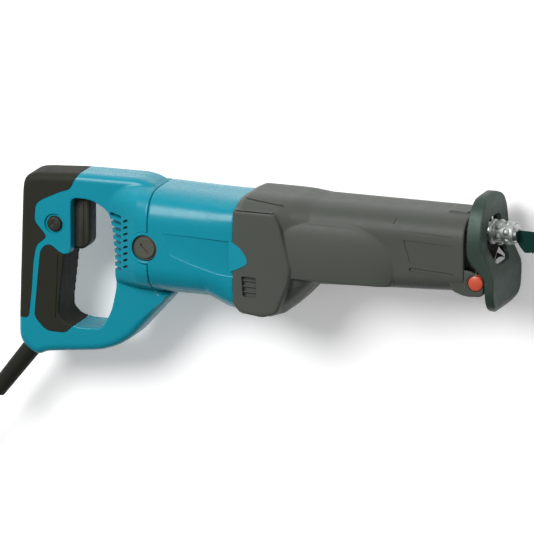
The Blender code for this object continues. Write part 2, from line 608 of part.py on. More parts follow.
def make_shoe():
    bracket = empty("shoe_slide_axis", (0, 0, 0), bpy.data.objects["saw_frame"])
    outer = [(428, 30.5), (436, 30.5), (440, 26), (440, -9), (452, -33), (452, -56), (447, -62),
             (443.6, -62), (443.6, -35), (441, -31), (430, -14), (428, -9)]
    pivot = empty("shoe_axis", (SHOE_PIVOT[0], 0, SHOE_PIVOT[1]), bpy.data.objects["saw_frame"])
    shoe = prism("shoe", from_pivot(outer), -SHOE_HALF_WIDTH, SHOE_HALF_WIDTH, "shoe_steel", parent=pivot)
    w = SHOE_HALF_WIDTH
    face = [(-12, 38.5), (12, 38.5), (24, 34), (31, 24), (w, 8), (w, -38), (30, -48), (18, -54),
            (-18, -54), (-30, -48), (-w, -38), (-w, 8), (-31, 24), (-24, 34)]
    keep_within(shoe, stacked("shoe_outline", [[(x, y, z) for y, z in face] for x in (-20, 30)],
                              None, parent=pivot))
    pan = [(424, 52), (436.5, 52), (436.5, -9.2), (448.5, -34), (448.5, -88), (438, -88),
           (438, -35), (424, -12)]
    pocket = prism("shoe_pocket", from_pivot(pan), -32.8, 32.8, parent=pivot)
    keep_within(pocket, stacked("pocket_outline", [[(x, y, z) for y, z in inset(face, 3.7)]
                                                   for x in (-20, 30)], None, parent=pivot))
    window = [(-12, 23), (12, 23), (19, 14), (19, -10), (14, -19), (-14, -19), (-19, -10),
              (-19, 14)]
    cut(shoe, pocket, stacked("shoe_window", [[(x, y, z) for y, z in window] for x in (-20, 30)],
                              None, parent=pivot))
    for side in (-1, 1):
        lug = prism(f"shoe_lug_{side}", [(-4.5, -5), (6, -5), (6, 5), (-4.5, 5)],
                    *sorted((side * 25.6, side * 29)), parent=pivot)
        unite(shoe, lug)
        cut(shoe, rod(f"lug_hole_{side}", side * 24, side * 31, 2.8, axis="Y", steps=16,
                      parent=pivot))
    slide = box("shoe_slide", (352, -10, -46), (424, 10, -43), "steel", parent=bracket)
    unite(slide, box("slide_cross", (418, -24.6, -46), (428, 24.6, -43), parent=bracket))
    for side, word in ((-1, "right"), (1, "left")):
        cheek = [(418, -46), (428, -46), (435.4, -18), (435.4, -3.5), (426.5, -3.5),
                 (425.5, -14), (418, -43)]
        unite(slide, prism(f"slide_cheek_{word}", cheek, *sorted((side * 22.6, side * 24.6)),
                           parent=bracket))
        cut(slide, rod(f"slide_hole_{word}", side * 20, side * 26, 2.8, axis="Y", steps=16,
                       centre=SHOE_PIVOT, parent=bracket))
        stepped_rod(f"shoe_pin_{word}", [(side * 21.6, 2.4), (side * 30.5, 2.4)], "steel",
                    axis="Y", centre=SHOE_PIVOT, steps=16, parent=bracket)
    turned_cap("shoe_button", -35.6, -29, 7.0, "orange_plastic", (435, -39))


# Cord

def cord_route():
    """The free cord from the guard's tip to the coil, as points in the tool frame (mm)."""
    start = Vector(guard_point(GUARD_LENGTH + GAP))
    heading = Vector((cos(GUARD_ANGLE), 0, sin(GUARD_ANGLE)))
    return [start + heading * along + Vector((0, drop, 0)) for along, drop in CORD_DROPS]


def smooth_curve(points, spacing):
    """Points at an even spacing along a Catmull-Rom curve through the given points."""
    line = []
    padded = [points[0] * 2 - points[1]] + points + [points[-1] * 2 - points[-2]]
    for a, b, c, d in zip(padded, padded[1:], padded[2:], padded[3:]):
        for i in range(20):
            t = i / 20
            line.append(0.5 * (2 * b + (c - a) * t + (2 * a - 5 * b + 4 * c - d) * t * t
                               + (3 * b - a - 3 * c + d) * t ** 3))
    line.append(points[-1])
    total = sum((q - p).length for p, q in zip(line, line[1:]))
    count = max(int(total / spacing), 2)
    spaced, run, wanted = [line[0]], 0.0, total / count
    for p, q in zip(line, line[1:]):
        step = (q - p).length
        while run + step >= wanted and len(spaced) < count:
            spaced.append(p.lerp(q, (wanted - run) / step))
            wanted += total / count
        run += step
    spaced.append(line[-1])
    return spaced


def cord_tube(name, points):
    curve = bpy.data.curves.new(name, 'CURVE')
    curve.dimensions = '3D'
    curve.bevel_depth = CORD_RADIUS * MM
    curve.bevel_resolution = 2
    curve.use_fill_caps = True
    curve.render_resolution_u = 0
    spline = curve.splines.new('POLY')
    spline.points.add(len(points) - 1)
    for knot, point in zip(spline.points, points):
        knot.co = (*(point * MM), 1.0)
    made = bpy.data.objects.new(name, curve)
    bpy.context.collection.objects.link(made)
    made.parent = bpy.data.objects["saw_frame"]
    curve.materials.append(material("cord_rubber"))
    return made


def make_cord():
    guard_rod("cord_guard", -9, GUARD_LENGTH, 8.5, 8.5, 8.4, 8.1, 7.9, 7.7, 7.5, look="cord_rubber")
    box("cord_clamp", (25, -7.5, -137.5), (41, 7.5, -133.5), "black_plastic")
    cord_tube("power_cord", smooth_curve(cord_route(), 16))
    floor = BODY_HALF_WIDTH
    top = floor - COIL_HEIGHT
    soft = 5.0
    tail_y, tail_z = floor - COIL_HEIGHT + CORD_RADIUS, COIL_CENTRE[1] + TAIL_RADIUS
    tail = [Vector((COIL_CENTRE[0] + x, tail_y, tail_z)) for x in (32, 34, 36)]
    cord_tube("cord_tail", smooth_curve(tail, 4))
    profile = [(floor, COIL_INNER + soft), (floor - soft, COIL_INNER), (top + soft, COIL_INNER),
               (top, COIL_INNER + soft), (top, COIL_OUTER - soft), (top + soft, COIL_OUTER),
               (floor - soft, COIL_OUTER), (floor, COIL_OUTER - soft)]
    turned("cord_coil", profile, "cord_rubber", axis="Y", centre=COIL_CENTRE, steps=40)
    tie_x = COIL_CENTRE[0]
    near, far = COIL_CENTRE[1] - COIL_OUTER, COIL_CENTRE[1] - COIL_INNER
    strap = [(floor - 0.2, near - 2), (top - 1.9, near - 2), (top - 1.9, far + 2.9),
             (floor - 0.2, far + 2.9), (floor - 0.2, far + 1.1), (top - 0.4, far + 1.1),
             (top - 0.4, near - 0.4), (floor - 0.2, near - 0.4)]
    stacked("coil_tie", [[(tie_x + x, y, z) for y, z in strap] for x in (-6, 6)],
            "black_plastic")
    make_plug(COIL_CENTRE[0] + 36 + GAP, tail_y, tail_z)


def make_plug(start, y, z):
    """A two-pin plug along +X, its cord entering at the start point."""
    rings = []
    for along, wide, high in ((0, 5.0, 5.0), (20, 6.5, 6.5), (23, 11, 9.5), (31, 16.5, 11.6),
                              (55, 17.5, 11.9), (56.5, 16.5, 11)):
        shape = []
        for i in range(20):
            angle = 2 * pi * i / 20
            power = 0.7 if along > 20 else 1.0
            across = abs(sin(angle)) ** power * (1 if sin(angle) >= 0 else -1)
            up = abs(cos(angle)) ** power * (1 if cos(angle) >= 0 else -1)
            shape.append((start + along, y + high * up, z + wide * across))
        rings.append(shape)
    stacked("plug_body", rings, "cord_rubber")
    for i, side in enumerate((-1, 1)):
        stepped_rod(f"plug_pin_{i + 1}", [(start + 56.8, 2.4), (start + 75, 2.4),
                                          (start + 75.8, 1.6)], "brass",
                    centre=(y, z + side * 9.5), steps=14)


def main():
    clear_scene()
    root = empty("saw_frame")
    root.location = Vector((-SAW_LENGTH / 2, -(SAW_TOP + SAW_BOTTOM) / 2, BODY_HALF_WIDTH)) * MM
    root.rotation_euler.x = radians(-90)
    make_handle()
    make_controls()
    make_motor()
    make_armature()
    make_front()
    make_drive()
    make_plunger()
    make_shoe()
    make_cord()


main()
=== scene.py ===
"""The looks of a corded reciprocating saw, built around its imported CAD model.

Shapes are drawn in the saw's own tool frame, in millimetres: X forward from the back of the
handle, Y to the saw's left, Z up from the plunger's axis. The saw lies on its left side, so tool
(x, y, z) is world (x, z, -y) moved by the frame's own offset.
"""

from math import atan2, cos, pi, radians, sin

import bmesh
import bpy
from mathutils import Matrix, Vector


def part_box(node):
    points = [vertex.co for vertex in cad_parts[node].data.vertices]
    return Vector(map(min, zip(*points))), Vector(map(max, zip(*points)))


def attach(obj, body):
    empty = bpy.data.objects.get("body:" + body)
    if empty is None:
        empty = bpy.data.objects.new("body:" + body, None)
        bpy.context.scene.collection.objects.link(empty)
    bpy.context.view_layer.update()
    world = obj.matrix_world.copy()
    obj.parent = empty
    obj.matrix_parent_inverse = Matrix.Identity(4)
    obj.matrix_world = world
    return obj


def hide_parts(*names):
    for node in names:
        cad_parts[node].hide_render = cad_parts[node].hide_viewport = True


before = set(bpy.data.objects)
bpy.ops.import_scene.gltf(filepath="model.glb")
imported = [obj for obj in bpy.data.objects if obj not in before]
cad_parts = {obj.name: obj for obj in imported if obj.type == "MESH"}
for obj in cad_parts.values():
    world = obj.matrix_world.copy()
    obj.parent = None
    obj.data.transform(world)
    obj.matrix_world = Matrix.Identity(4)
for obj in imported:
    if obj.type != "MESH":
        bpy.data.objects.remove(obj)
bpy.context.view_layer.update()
MM = 0.001
SCENE = bpy.context.scene

SIDES = (-1, 1)

# The tool frame's place in the world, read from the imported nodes: the back of the grip is its X, and
# the middle of the plunger's rear bush its Y and Z
BUSH_LOW, BUSH_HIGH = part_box("plunger_bush_rear")
GRIP_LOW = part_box("rear_grip_right")[0]
BUSH_MIDDLE = [(a + b) / 2 for a, b in zip(BUSH_LOW, BUSH_HIGH)]
OFFSET = Vector((GRIP_LOW[0], BUSH_MIDDLE[1], BUSH_MIDDLE[2]))


def place(x, y, z):
    """A tool-frame point in mm as a world point in metres."""
    return OFFSET + Vector((x, z, -y)) * MM


# Camera: its turn towards the front and its rise, the tool-frame point (mm) at the picture's middle,
# and its distance and clipping in metres

VIEW_TURN, VIEW_RISE = radians(21), radians(15)
VIEW_TARGET = (228, 0, -52.4)
VIEW_DISTANCE = 12.0
VIEW_LENS = 924.0
VIEW_SENSOR = 36
VIEW_CLIP = 40


def make_camera():
    """The picture's camera, nearly parallel in its view."""
    data = bpy.data.cameras.new("camera")
    data.lens = VIEW_LENS
    data.sensor_width = VIEW_SENSOR
    data.clip_end = VIEW_CLIP
    camera = bpy.data.objects.new("camera", data)
    SCENE.collection.objects.link(camera)
    back = Vector((sin(VIEW_TURN) * cos(VIEW_RISE), sin(VIEW_RISE), cos(VIEW_TURN) * cos(VIEW_RISE)))
    right = Vector((cos(VIEW_TURN), 0, -sin(VIEW_TURN)))
    up = back.cross(right)
    camera.matrix_world = Matrix((right, up, back)).transposed().to_4x4()
    camera.location = place(*VIEW_TARGET) + back * VIEW_DISTANCE
    SCENE.camera = camera


# Materials

CLOUD_SCALE, CLOUD_DETAIL = 28, 5
SHEEN_SCALE, SHEEN_DETAIL = 160, 6
GRAIN_DETAIL, GRAIN_HEIGHT = 2, 0.0002
NOISE_LOW, NOISE_HIGH = 0.3, 0.7
# Pointiness range where sharp edges take the painted edge highlight, and that highlight's largest share
EDGE_FROM, EDGE_TO, EDGE_SHARE = 0.53, 0.62, 0.55


def shader_of(name, colour, roughness, metallic, gloss):
    """A new material with its nodes, its links and its shader, set to plain values."""
    made = bpy.data.materials.new(name)
    made.use_nodes = True
    nodes, links = made.node_tree.nodes, made.node_tree.links
    shader = nodes["Principled BSDF"]
    shader.inputs["Metallic"].default_value = metallic
    shader.inputs["Roughness"].default_value = roughness
    shader.inputs["Base Color"].default_value = (*colour, 1)
    shader.inputs["Specular IOR Level"].default_value = gloss
    return made, nodes, links, shader


def noise(nodes, links, scale, detail, stretch=None):
    """A noise texture in object space, whose unit is the metre."""
    coordinates = nodes.new("ShaderNodeTexCoord")
    texture = nodes.new("ShaderNodeTexNoise")
    texture.inputs["Scale"].default_value = scale
    texture.inputs["Detail"].default_value = detail
    source = coordinates.outputs["Object"]
    if stretch:
        mapping = nodes.new("ShaderNodeMapping")
        mapping.inputs["Scale"].default_value = stretch
        links.new(source, mapping.inputs["Vector"])
        source = mapping.outputs["Vector"]
    links.new(source, texture.inputs["Vector"])
    return texture.outputs["Fac"]


def spread(nodes, links, source, low, high, into):
    """Maps the range that a noise texture mostly keeps to, to a range on an input."""
    scale = nodes.new("ShaderNodeMapRange")
    scale.inputs["From Min"].default_value = NOISE_LOW
    scale.inputs["From Max"].default_value = NOISE_HIGH
    scale.inputs["To Min"].default_value = low
    scale.inputs["To Max"].default_value = high
    links.new(source, scale.inputs["Value"])
    links.new(scale.outputs["Result"], into)


def finish_of(name, colour, roughness, metallic=0.0, gloss=0.3, mottle=0.06, grain=1800,
              grain_depth=0.15, rough_range=0.08, stretch=None, edge=None):
    """A moulded, cast or machined surface: mottled colour, uneven gloss, a fine grain and, where an edge
    colour is given, a painted edge highlight: sharp edges take that lighter colour on."""
    made, nodes, links, shader = shader_of(name, colour, roughness, metallic, gloss)
    cloud = noise(nodes, links, CLOUD_SCALE, CLOUD_DETAIL)
    blend = nodes.new("ShaderNodeMix")
    blend.data_type = 'RGBA'
    blend.inputs["A"].default_value = (*[c * (1 - mottle) for c in colour], 1)
    blend.inputs["B"].default_value = (*[min(c * (1 + mottle), 1) for c in colour], 1)
    links.new(cloud, blend.inputs["Factor"])
    result = blend.outputs["Result"]
    # Painted highlight: sharp edges, found by their pointiness, are lightened towards the edge colour.
    if edge:
        edge_highlight = nodes.new("ShaderNodeMix")
        edge_highlight.data_type = 'RGBA'
        shape = nodes.new("ShaderNodeNewGeometry")
        sharpness = nodes.new("ShaderNodeMapRange")
        sharpness.inputs["From Min"].default_value = EDGE_FROM
        sharpness.inputs["From Max"].default_value = EDGE_TO
        sharpness.inputs["To Max"].default_value = EDGE_SHARE
        links.new(shape.outputs["Pointiness"], sharpness.inputs["Value"])
        links.new(sharpness.outputs["Result"], edge_highlight.inputs["Factor"])
        links.new(result, edge_highlight.inputs["A"])
        edge_highlight.inputs["B"].default_value = (*edge, 1)
        result = edge_highlight.outputs["Result"]
    links.new(result, shader.inputs["Base Color"])
    sheen = noise(nodes, links, SHEEN_SCALE, SHEEN_DETAIL, stretch)
    spread(nodes, links, sheen, roughness - rough_range, roughness + rough_range,
           shader.inputs["Roughness"])
    bump = nodes.new("ShaderNodeBump")
    bump.inputs["Strength"].default_value = grain_depth
    bump.inputs["Distance"].default_value = GRAIN_HEIGHT
    links.new(noise(nodes, links, grain, GRAIN_DETAIL, stretch), bump.inputs["Height"])
    links.new(bump.outputs["Normal"], shader.inputs["Normal"])
    return made


MATERIALS = {}


def make_materials():
    """Every material by its short name."""
    teal = (0.005, 0.195, 0.262)
    # Each edge colour is a painted edge highlight, lighter than the base colour it is mixed into.
    MATERIALS.update({
        "teal": finish_of("teal_plastic", teal, 0.27, gloss=0.2, grain=2600, grain_depth=0.08, mottle=0.03,
                          rough_range=0.03, edge=(0.012, 0.25, 0.33)),
        "rubber": finish_of("grip_rubber", (0.017, 0.0175, 0.0125), 0.62, gloss=0.12, grain=1500,
                            grain_depth=0.35, mottle=0.1, rough_range=0.04, edge=(0.045, 0.043, 0.037)),
        "cover": finish_of("cover_rubber", (0.06, 0.066, 0.057), 0.42, gloss=0.1, grain=1700,
                           grain_depth=0.2, mottle=0.05, rough_range=0.03, edge=(0.095, 0.1, 0.097)),
        "black": finish_of("black_plastic", (0.02, 0.02, 0.018), 0.42, mottle=0.15),
        "black_soft": finish_of("soft_black_plastic", (0.02, 0.02, 0.0155), 0.5, gloss=0.2, mottle=0.12,
                                edge=(0.05, 0.048, 0.042)),
        "cap": finish_of("brush_cap_plastic", (0.062, 0.062, 0.048), 0.5, mottle=0.1),
        "orange": finish_of("orange_plastic", (0.46, 0.072, 0.036), 0.34, mottle=0.04),
        "shoe": finish_of("shoe_plating", (0.034, 0.052, 0.043), 0.46, metallic=0.3, gloss=0.15, mottle=0.12,
                          grain=900, grain_depth=0.2, rough_range=0.05, edge=(0.12, 0.14, 0.13)),
        "steel": finish_of("machined_steel", (0.42, 0.42, 0.43), 0.3, metallic=1.0, grain=900,
                           grain_depth=0.12, stretch=(0.15, 1, 1)),
        "bright": finish_of("polished_steel", (0.42, 0.45, 0.43), 0.52, metallic=1.0, grain=700,
                            grain_depth=0.03, rough_range=0.03),
        "cast": finish_of("cast_aluminium", (0.5, 0.51, 0.52), 0.5, metallic=1.0, grain=1300,
                          grain_depth=0.5, mottle=0.12),
        "copper": finish_of("copper_bars", (0.68, 0.3, 0.13), 0.35, metallic=1.0, grain=1200),
        "brass": finish_of("brass", (0.72, 0.52, 0.2), 0.33, metallic=1.0),
        "carbon": finish_of("carbon", (0.03, 0.03, 0.032), 0.7, mottle=0.3, grain_depth=0.6),
        "blade": finish_of("blade_paint", (0.002, 0.026, 0.02), 0.5, gloss=0.12, mottle=0.15,
                           grain=1000, grain_depth=0.12),
        "cord": finish_of("cord_rubber", (0.013, 0.014, 0.0105), 0.6, gloss=0.12, mottle=0.12, grain=1400,
                          grain_depth=0.3),
    })


# Mesh tools, all in the tool frame's mm. THROUGH is past the saw's sides, VOXEL the step of the
# smoothed skins, WALL the thickness of a hollow housing and LOFT_STEP the spacing of a loft's rings.

THROUGH = 60
VOXEL = 0.8
WALL = 3.2
LOFT_STEP = 4
SHARP_ANGLE = 40


def rounded(points, radius, steps=5):
    """An outline with each corner turned into a short curve."""
    corners = [Vector(p) for p in points]
    result = []
    for i, corner in enumerate(corners):
        back, ahead = corners[i - 1] - corner, corners[(i + 1) % len(corners)] - corner
        start = corner + back.normalized() * min(radius, back.length * 0.48)
        end = corner + ahead.normalized() * min(radius, ahead.length * 0.48)
        for k in range(steps + 1):
            t = k / steps
            result.append(start * (1 - t) ** 2 + corner * 2 * t * (1 - t) + end * t * t)
    return result


def offset(points, distance):
    """An outline moved inwards, or outwards where the distance is negative."""
    corners = [Vector(p) for p in points]
    area = sum(a.x * b.y - b.x * a.y for a, b in zip(corners, corners[1:] + corners[:1]))
    turn = 1 if area > 0 else -1
    moved = []
    for i, corner in enumerate(corners):
        before = (corner - corners[i - 1]).normalized()
        after = (corners[(i + 1) % len(corners)] - corner).normalized()
        side = Vector((-before.y, before.x)) * turn
        middle = (side + Vector((-after.y, after.x)) * turn).normalized()
        moved.append(corner + middle * distance / max(middle.dot(side), 0.5))
    return moved


def skin(name, rings):
    """An object over rings of equal point count, in the tool frame; ends are capped."""
    count = len(rings[0])
    points = [place(*p) for ring in rings for p in ring]
    faces = []
    for i in range(len(rings) - 1):
        a, b = i * count, (i + 1) * count
        for k in range(count):
            n = (k + 1) % count
            faces.append((a + k, a + n, b + n, b + k))
    faces += [tuple(range(count)), tuple(range(len(points) - count, len(points)))]
    mesh = bpy.data.meshes.new(name)
    mesh.from_pydata(points, [], faces)
    body = bmesh.new()
    body.from_mesh(mesh)
    bmesh.ops.recalc_face_normals(body, faces=body.faces)
    body.to_mesh(mesh)
    body.free()
    made = bpy.data.objects.new(name, mesh)
    SCENE.collection.objects.link(made)
    return made


def dress(item, look, sharp):
    """Gives a drawn object its material, and smooth shading that breaks at sharp angles."""
    mesh = item.data
    mesh.materials.clear()
    mesh.materials.append(MATERIALS[look])
    mesh.shade_smooth()
    mesh.set_sharp_from_angle(angle=radians(sharp))
    return item


def settle(item):
    """Applies an object's modifiers."""
    graph = bpy.context.evaluated_depsgraph_get()
    mesh = bpy.data.meshes.new_from_object(item.evaluated_get(graph), depsgraph=graph)
    item.modifiers.clear()
    item.data = mesh
    return item


def combine(target, *tools, operation='DIFFERENCE'):
    """Cuts, adds or intersects each tool in turn, and removes it."""
    for tool in tools:
        step = target.modifiers.new("combine", 'BOOLEAN')
        step.operation = operation
        step.solver = 'MANIFOLD'
        step.object = tool
        settle(target)
        bpy.data.objects.remove(tool)
    return target


def melt(item, rounds):
    """Blends an object's forms into one smooth skin."""
    step = item.modifiers.new("remesh", 'REMESH')
    step.mode = 'VOXEL'
    step.voxel_size = VOXEL * MM
    smooth = item.modifiers.new("smooth", 'SMOOTH')
    smooth.factor = 0.5
    smooth.iterations = rounds
    return settle(item)


def copy_of(item, name):
    """A second object with a mesh of its own."""
    made = bpy.data.objects.new(name, item.data.copy())
    SCENE.collection.objects.link(made)
    return made


def pillow(name, outline, y_low, y_high, rim, steps=5):
    """An outline in XZ with a thickness along Y and rounded rims."""
    rings = []
    for side, edge in ((-1, y_low), (1, y_high)):
        layers = []
        for k in range(steps + 1):
            angle = pi / 2 * k / steps
            line = offset(outline, rim * (1 - sin(angle)))
            y = edge - side * rim * (1 - cos(angle))
            layers.append([(p.x, y, p.y) for p in line])
        rings += layers if side < 0 else layers[::-1]
    return skin(name, rings)


def slab(name, outline, y_low, y_high):
    """An outline in XZ with a thickness along Y."""
    line = [Vector(p) for p in outline]
    return skin(name, [[(p.x, y, p.y) for p in line] for y in (y_low, y_high)])


def block(name, low, high):
    """A box between two corners."""
    outline = [(low[0], low[2]), (high[0], low[2]), (high[0], high[2]), (low[0], high[2])]
    return slab(name, outline, low[1], high[1])


def spin(name, profile, axis="X", centre=(0, 0), steps=64):
    """A closed profile of (along, radius) turned about an axis; a zero radius closes it."""
    rings = []
    for along, radius in profile:
        radius = max(radius, 0.01)
        ring = []
        for i in range(steps):
            a = centre[0] + radius * sin(2 * pi * i / steps)
            b = centre[1] + radius * cos(2 * pi * i / steps)
            ring.append((along, a, b) if axis == "X" else (a, along, b))
        rings.append(ring)
    return skin(name, rings)


def finish(item, look, body, slot, *nodes, sharp=SHARP_ANGLE):
    """Dresses a piece and says its body and the CAD nodes that it replaces; the slot is not used."""
    dress(item, look, sharp)
    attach(item, body)
    if nodes:
        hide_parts(*nodes)
    return item


def loft(name, stations, radius, shrink=0.0):
    """A body over half sections along X, its corners rounded."""
    sections = []
    for x, half in stations:
        full = [(y, z) for y, z in half] + [(-y, z) for y, z in reversed(half)]
        sections.append((x, offset(rounded(full, radius), shrink)))
    rings = []
    for (xa, a), (xb, b) in zip(sections, sections[1:]):
        steps = max(1, round((xb - xa) / LOFT_STEP))
        for k in range(steps):
            rings.append([(xa + (xb - xa) * k / steps, *p.lerp(q, k / steps)) for p, q in zip(a, b)])
    rings.append([(sections[-1][0], *p) for p in sections[-1][1]])
    return skin(name, rings)


def facing(name, outline, x_low, x_high):
    """An outline in YZ with a thickness along X."""
    return skin(name, [[(x, p[0], p[1]) for p in outline] for x in (x_low, x_high)])


def side_slab(name, outline, side, near, far, round_by=0.0):
    """A slab on one side of the saw, from one distance off the middle to another."""
    line = rounded(outline, round_by) if round_by else outline
    return slab(name, line, *sorted((side * near, side * far)))


def groove(item, points, width, side, near, far):
    """A narrow channel cut along a line on one side."""
    line = [Vector(p) for p in points]
    for a, b in zip(line, line[1:]):
        along = (b - a).normalized() * width * 0.4
        across = Vector((-along.y, along.x)).normalized() * width / 2
        outline = [a - along - across, b + along - across, b + along + across, a - along + across]
        combine(item, side_slab("groove", outline, side, near, far))


# Handle

GRIP_HALF = 19.0
HANDLE_OUTLINE = [(131, 15.5), (115, 20.6), (58, 20), (17, 17.4), (9.5, 15.4), (5, 10.6), (3.6, 2),
                  (0, -115), (0, -135), (9, -145), (19, -149), (25, -145), (77, -139), (92, -134),
                  (106, -125), (146, -80.5), (131, -79.2)]
HAND_HOLE = [(50.5, -2), (66, -2), (74, -4), (86, -11), (90, -25), (93.5, -50), (93.5, -78), (89, -100),
             (80, -118), (58, -119), (45, -116), (38, -108), (43, -64), (44, -53), (50.5, -53)]
REAR_GRIP = [(-8, 30), (64, 30), (56, 18), (52.5, 12), (49.7, 6), (40, 2.7), (21.6, -6.4), (17, -11.4),
             (16, -26), (28, -39.3), (17.8, -47.5), (15, -62), (13, -90), (10.3, -114.4), (-8, -114.8)]
GRIP_PANEL = [(30, -45), (22, -51), (19.5, -76), (16, -113), (27, -124.5), (45, -125), (50, -120),
              (57, -114), (58, -54), (42, -54)]
TAIL = [(88, [(8, 12), (15, 8), (19, 0), (19, -10), (19, -60), (19, -72), (12, -78)]),
        (104, [(12, 16), (22, 12), (28, 3), (29, -10), (29, -58), (26, -72), (14, -79)]),
        (118, [(15, 16), (27, 12), (35, 4), (37, -8), (37, -58), (31, -72), (17, -79)]),
        (131, [(16, 14.5), (28, 12), (36, 5), (41, -6), (41, -58), (33, -72), (18, -78.5)])]
TAIL_HOLLOW = [(99.5, [(8, 6), (14, 3), (18, -4), (20, -14), (20, -56), (16, -66), (8, -70)]),
               (118, [(12, 12), (24, 8), (31, 1), (33, -10), (33, -56), (27, -68), (14, -74)]),
               (140, [(12, 11), (25, 8.5), (32, 2), (37, -8), (37, -56), (29.5, -68), (15, -74)])]
MOTOR_AXIS = -35.0
BRUSH_PLACE = (128.5, MOTOR_AXIS)
BUTTON_PLACE = (35, -27)
SCREW_PLACES = ((12, 7), (88, 12), (9.2, -119.9), (100, -122))
VENT_COUNT, VENT_TOP, VENT_PITCH = 9, -12.3, 5.9
DIAGONAL = 0.7071


def handle_form():
    """The handle and the casing's tail as one smooth body, with its hand opening."""
    form = pillow("handle_form", rounded(HANDLE_OUTLINE, 7), -GRIP_HALF, GRIP_HALF, 6.5)
    combine(form, loft("tail", TAIL, 6), operation='UNION')
    combine(form, slab("hand_hole", rounded(HAND_HOLE, 6), -THROUGH, THROUGH))
    return melt(form, 12)


def make_handle():
    """The handle shells, with the rubber of the grips cut out of them as pieces of their own."""
    form = handle_form()
    rubber_lines = {"rear_grip": rounded(REAR_GRIP, 4), "grip_panel": rounded(GRIP_PANEL, 5)}
    for x, z in SCREW_PLACES:
        combine(form, spin("screw_well", [(14.7, 3.9), (THROUGH, 3.9)], axis="Y", centre=(x, z), steps=32))
    for side in SIDES:
        combine(form, spin("boss_clearance", [(side * 20, 14.75), (side * THROUGH, 14.75)], axis="Y",
                           centre=BRUSH_PLACE))
    combine(form, loft("tail_hollow", TAIL_HOLLOW, 6),
            block("trigger_room", (38, -9.6, -52), (58, 9.6, -1)),
            spin("button_bore", [(-30, 7.2), (-8, 7.2)], axis="Y", centre=BUTTON_PLACE),
            spin("button_dish", [(-30, 9.4), (-18.9, 9.4), (-17.4, 8.3), (-17.3, 7.0)], axis="Y",
                 centre=BUTTON_PLACE),
            rod_along(-8, 16, 8.9, "guard_bore"))
    for i in range(VENT_COUNT):
        z = VENT_TOP - VENT_PITCH * i
        slot = [(88, z - 1.6), (101.5, z - 1.9), (101.5, z + 0.9), (88, z + 1.5)]
        combine(form, slab("vent", rounded(slot, 1, 3), -THROUGH, THROUGH))
        if i < VENT_COUNT - 1:
            slit = [(104.2, z - 4.6), (109.4, z - 2.6), (109.4, z - 0.4), (104.2, z - 2.4)]
            for side in SIDES:
                combine(form, side_slab("vent", slit, side, 15, THROUGH, 0.9))
    for name, line in rubber_lines.items():
        part = copy_of(form, name)
        combine(part, slab("keep", line, -THROUGH, THROUGH), operation='INTERSECT')
        if name == "grip_panel":
            for side in SIDES:
                groove(part, [(38.5, -55), (36, -112)], 0.9, side, 18.3, 40)
        finish(part, "rubber", "casing", "grip_rubber", name + "_left", name + "_right")
        combine(form, slab("parting", offset(line, -0.4), -THROUGH, THROUGH))
    combine(form, block("seam", (-20, -0.12, 10), (140, 0.12, 30)),
            block("seam", (60, -0.12, -170), (150, 0.12, -117)))
    finish(form, "teal", "casing", "teal_housing", "handle_left", "handle_right")


def rod_along(start, end, radius, name, steps=48):
    """A round bar along the cord guard's axis; radius is one size or a function of the place."""
    rings = []
    count = 2 if isinstance(radius, (int, float)) else max(2, round(end - start) * 2)
    for i in range(count):
        along = start + (end - start) * i / (count - 1)
        size = radius if isinstance(radius, (int, float)) else radius(along)
        x, z = guard_point(along)
        ring = []
        for k in range(steps):
            across, side = size * cos(2 * pi * k / steps), size * sin(2 * pi * k / steps)
            ring.append((x - across * sin(GUARD_ANGLE), side, z + across * cos(GUARD_ANGLE)))
        rings.append(ring)
    return skin(name, rings)


def make_controls():
    """The trigger, the lock button and the two brush caps with their slots."""
    outline = [(47, -2.8), (64.5, -2.8), (64.5, -44.5), (58.5, -50.6), (47, -50.6)]
    lever = pillow("trigger_lever", rounded(outline, 3.4), -8.8, 8.8, 2.6, steps=6)
    for side in SIDES:
        groove(lever, [(59.0, -4), (59.0, -48)], 0.8, side, 8.2, 20)
    finish(lever, "black_soft", "trigger_lever", "black_plastic", "trigger")
    profile = [(-12.5, 0), (-12.5, 6.7), (-19.2, 6.7), (-20.1, 6.3), (-20.5, 5.6), (-20.2, 3), (-20.1, 0)]
    finish(spin("lock_knob", profile, axis="Y", centre=BUTTON_PLACE), "black_soft", "lock_knob",
           "black_plastic", "lock_button")
    for side, word in ((-1, "right"), (1, "left")):
        profile = [(34.4, 0), (34.4, 11.5), (37.8, 11.5), (38.3, 11.1), (38.3, 9.7), (39.6, 9.5),
                   (40.2, 8.8), (40.1, 0)]
        cap = spin("cap_" + word, [(side * a, r) for a, r in profile], axis="Y", centre=BRUSH_PLACE)
        half = [(-5.2, -1), (5.2, -1), (5.2, 1), (-5.2, 1)]
        tilt = [(BRUSH_PLACE[0] + (a + b) * DIAGONAL, BRUSH_PLACE[1] + (b - a) * DIAGONAL)
                for a, b in half]
        combine(cap, side_slab("slot", tilt, side, 38.6, THROUGH))
        finish(cap, "cap", "casing", "black_plastic", "brush_cap_" + word)


# Motor housing

MOTOR_STATIONS = [
    (131.3, [(16, 14.5), (28, 12), (36, 5), (41, -6), (41, -58), (33, -72), (18, -78.5)]),
    (184, [(16, 13), (28, 11), (37, 5), (42, -6), (42, -58), (34, -72), (18, -78.5)]),
    (200, [(16, 12.5), (28, 11), (38, 5), (42.5, -5), (42.5, -60), (36, -77), (20, -86)]),
    (212, [(17, 12.5), (29, 11), (38, 5.5), (42.5, -4), (42.5, -64), (38, -80), (22, -88)])]
MOTOR_PANEL = [(143.7, -19), (150.3, -38.5), (171.9, -46), (197, -52.5), (216, -54), (216, -21)]
NOTCH = [(209, -19), (219, -24.5), (225.8, -33.5), (225.8, -39.5), (218, -44), (209, -48)]


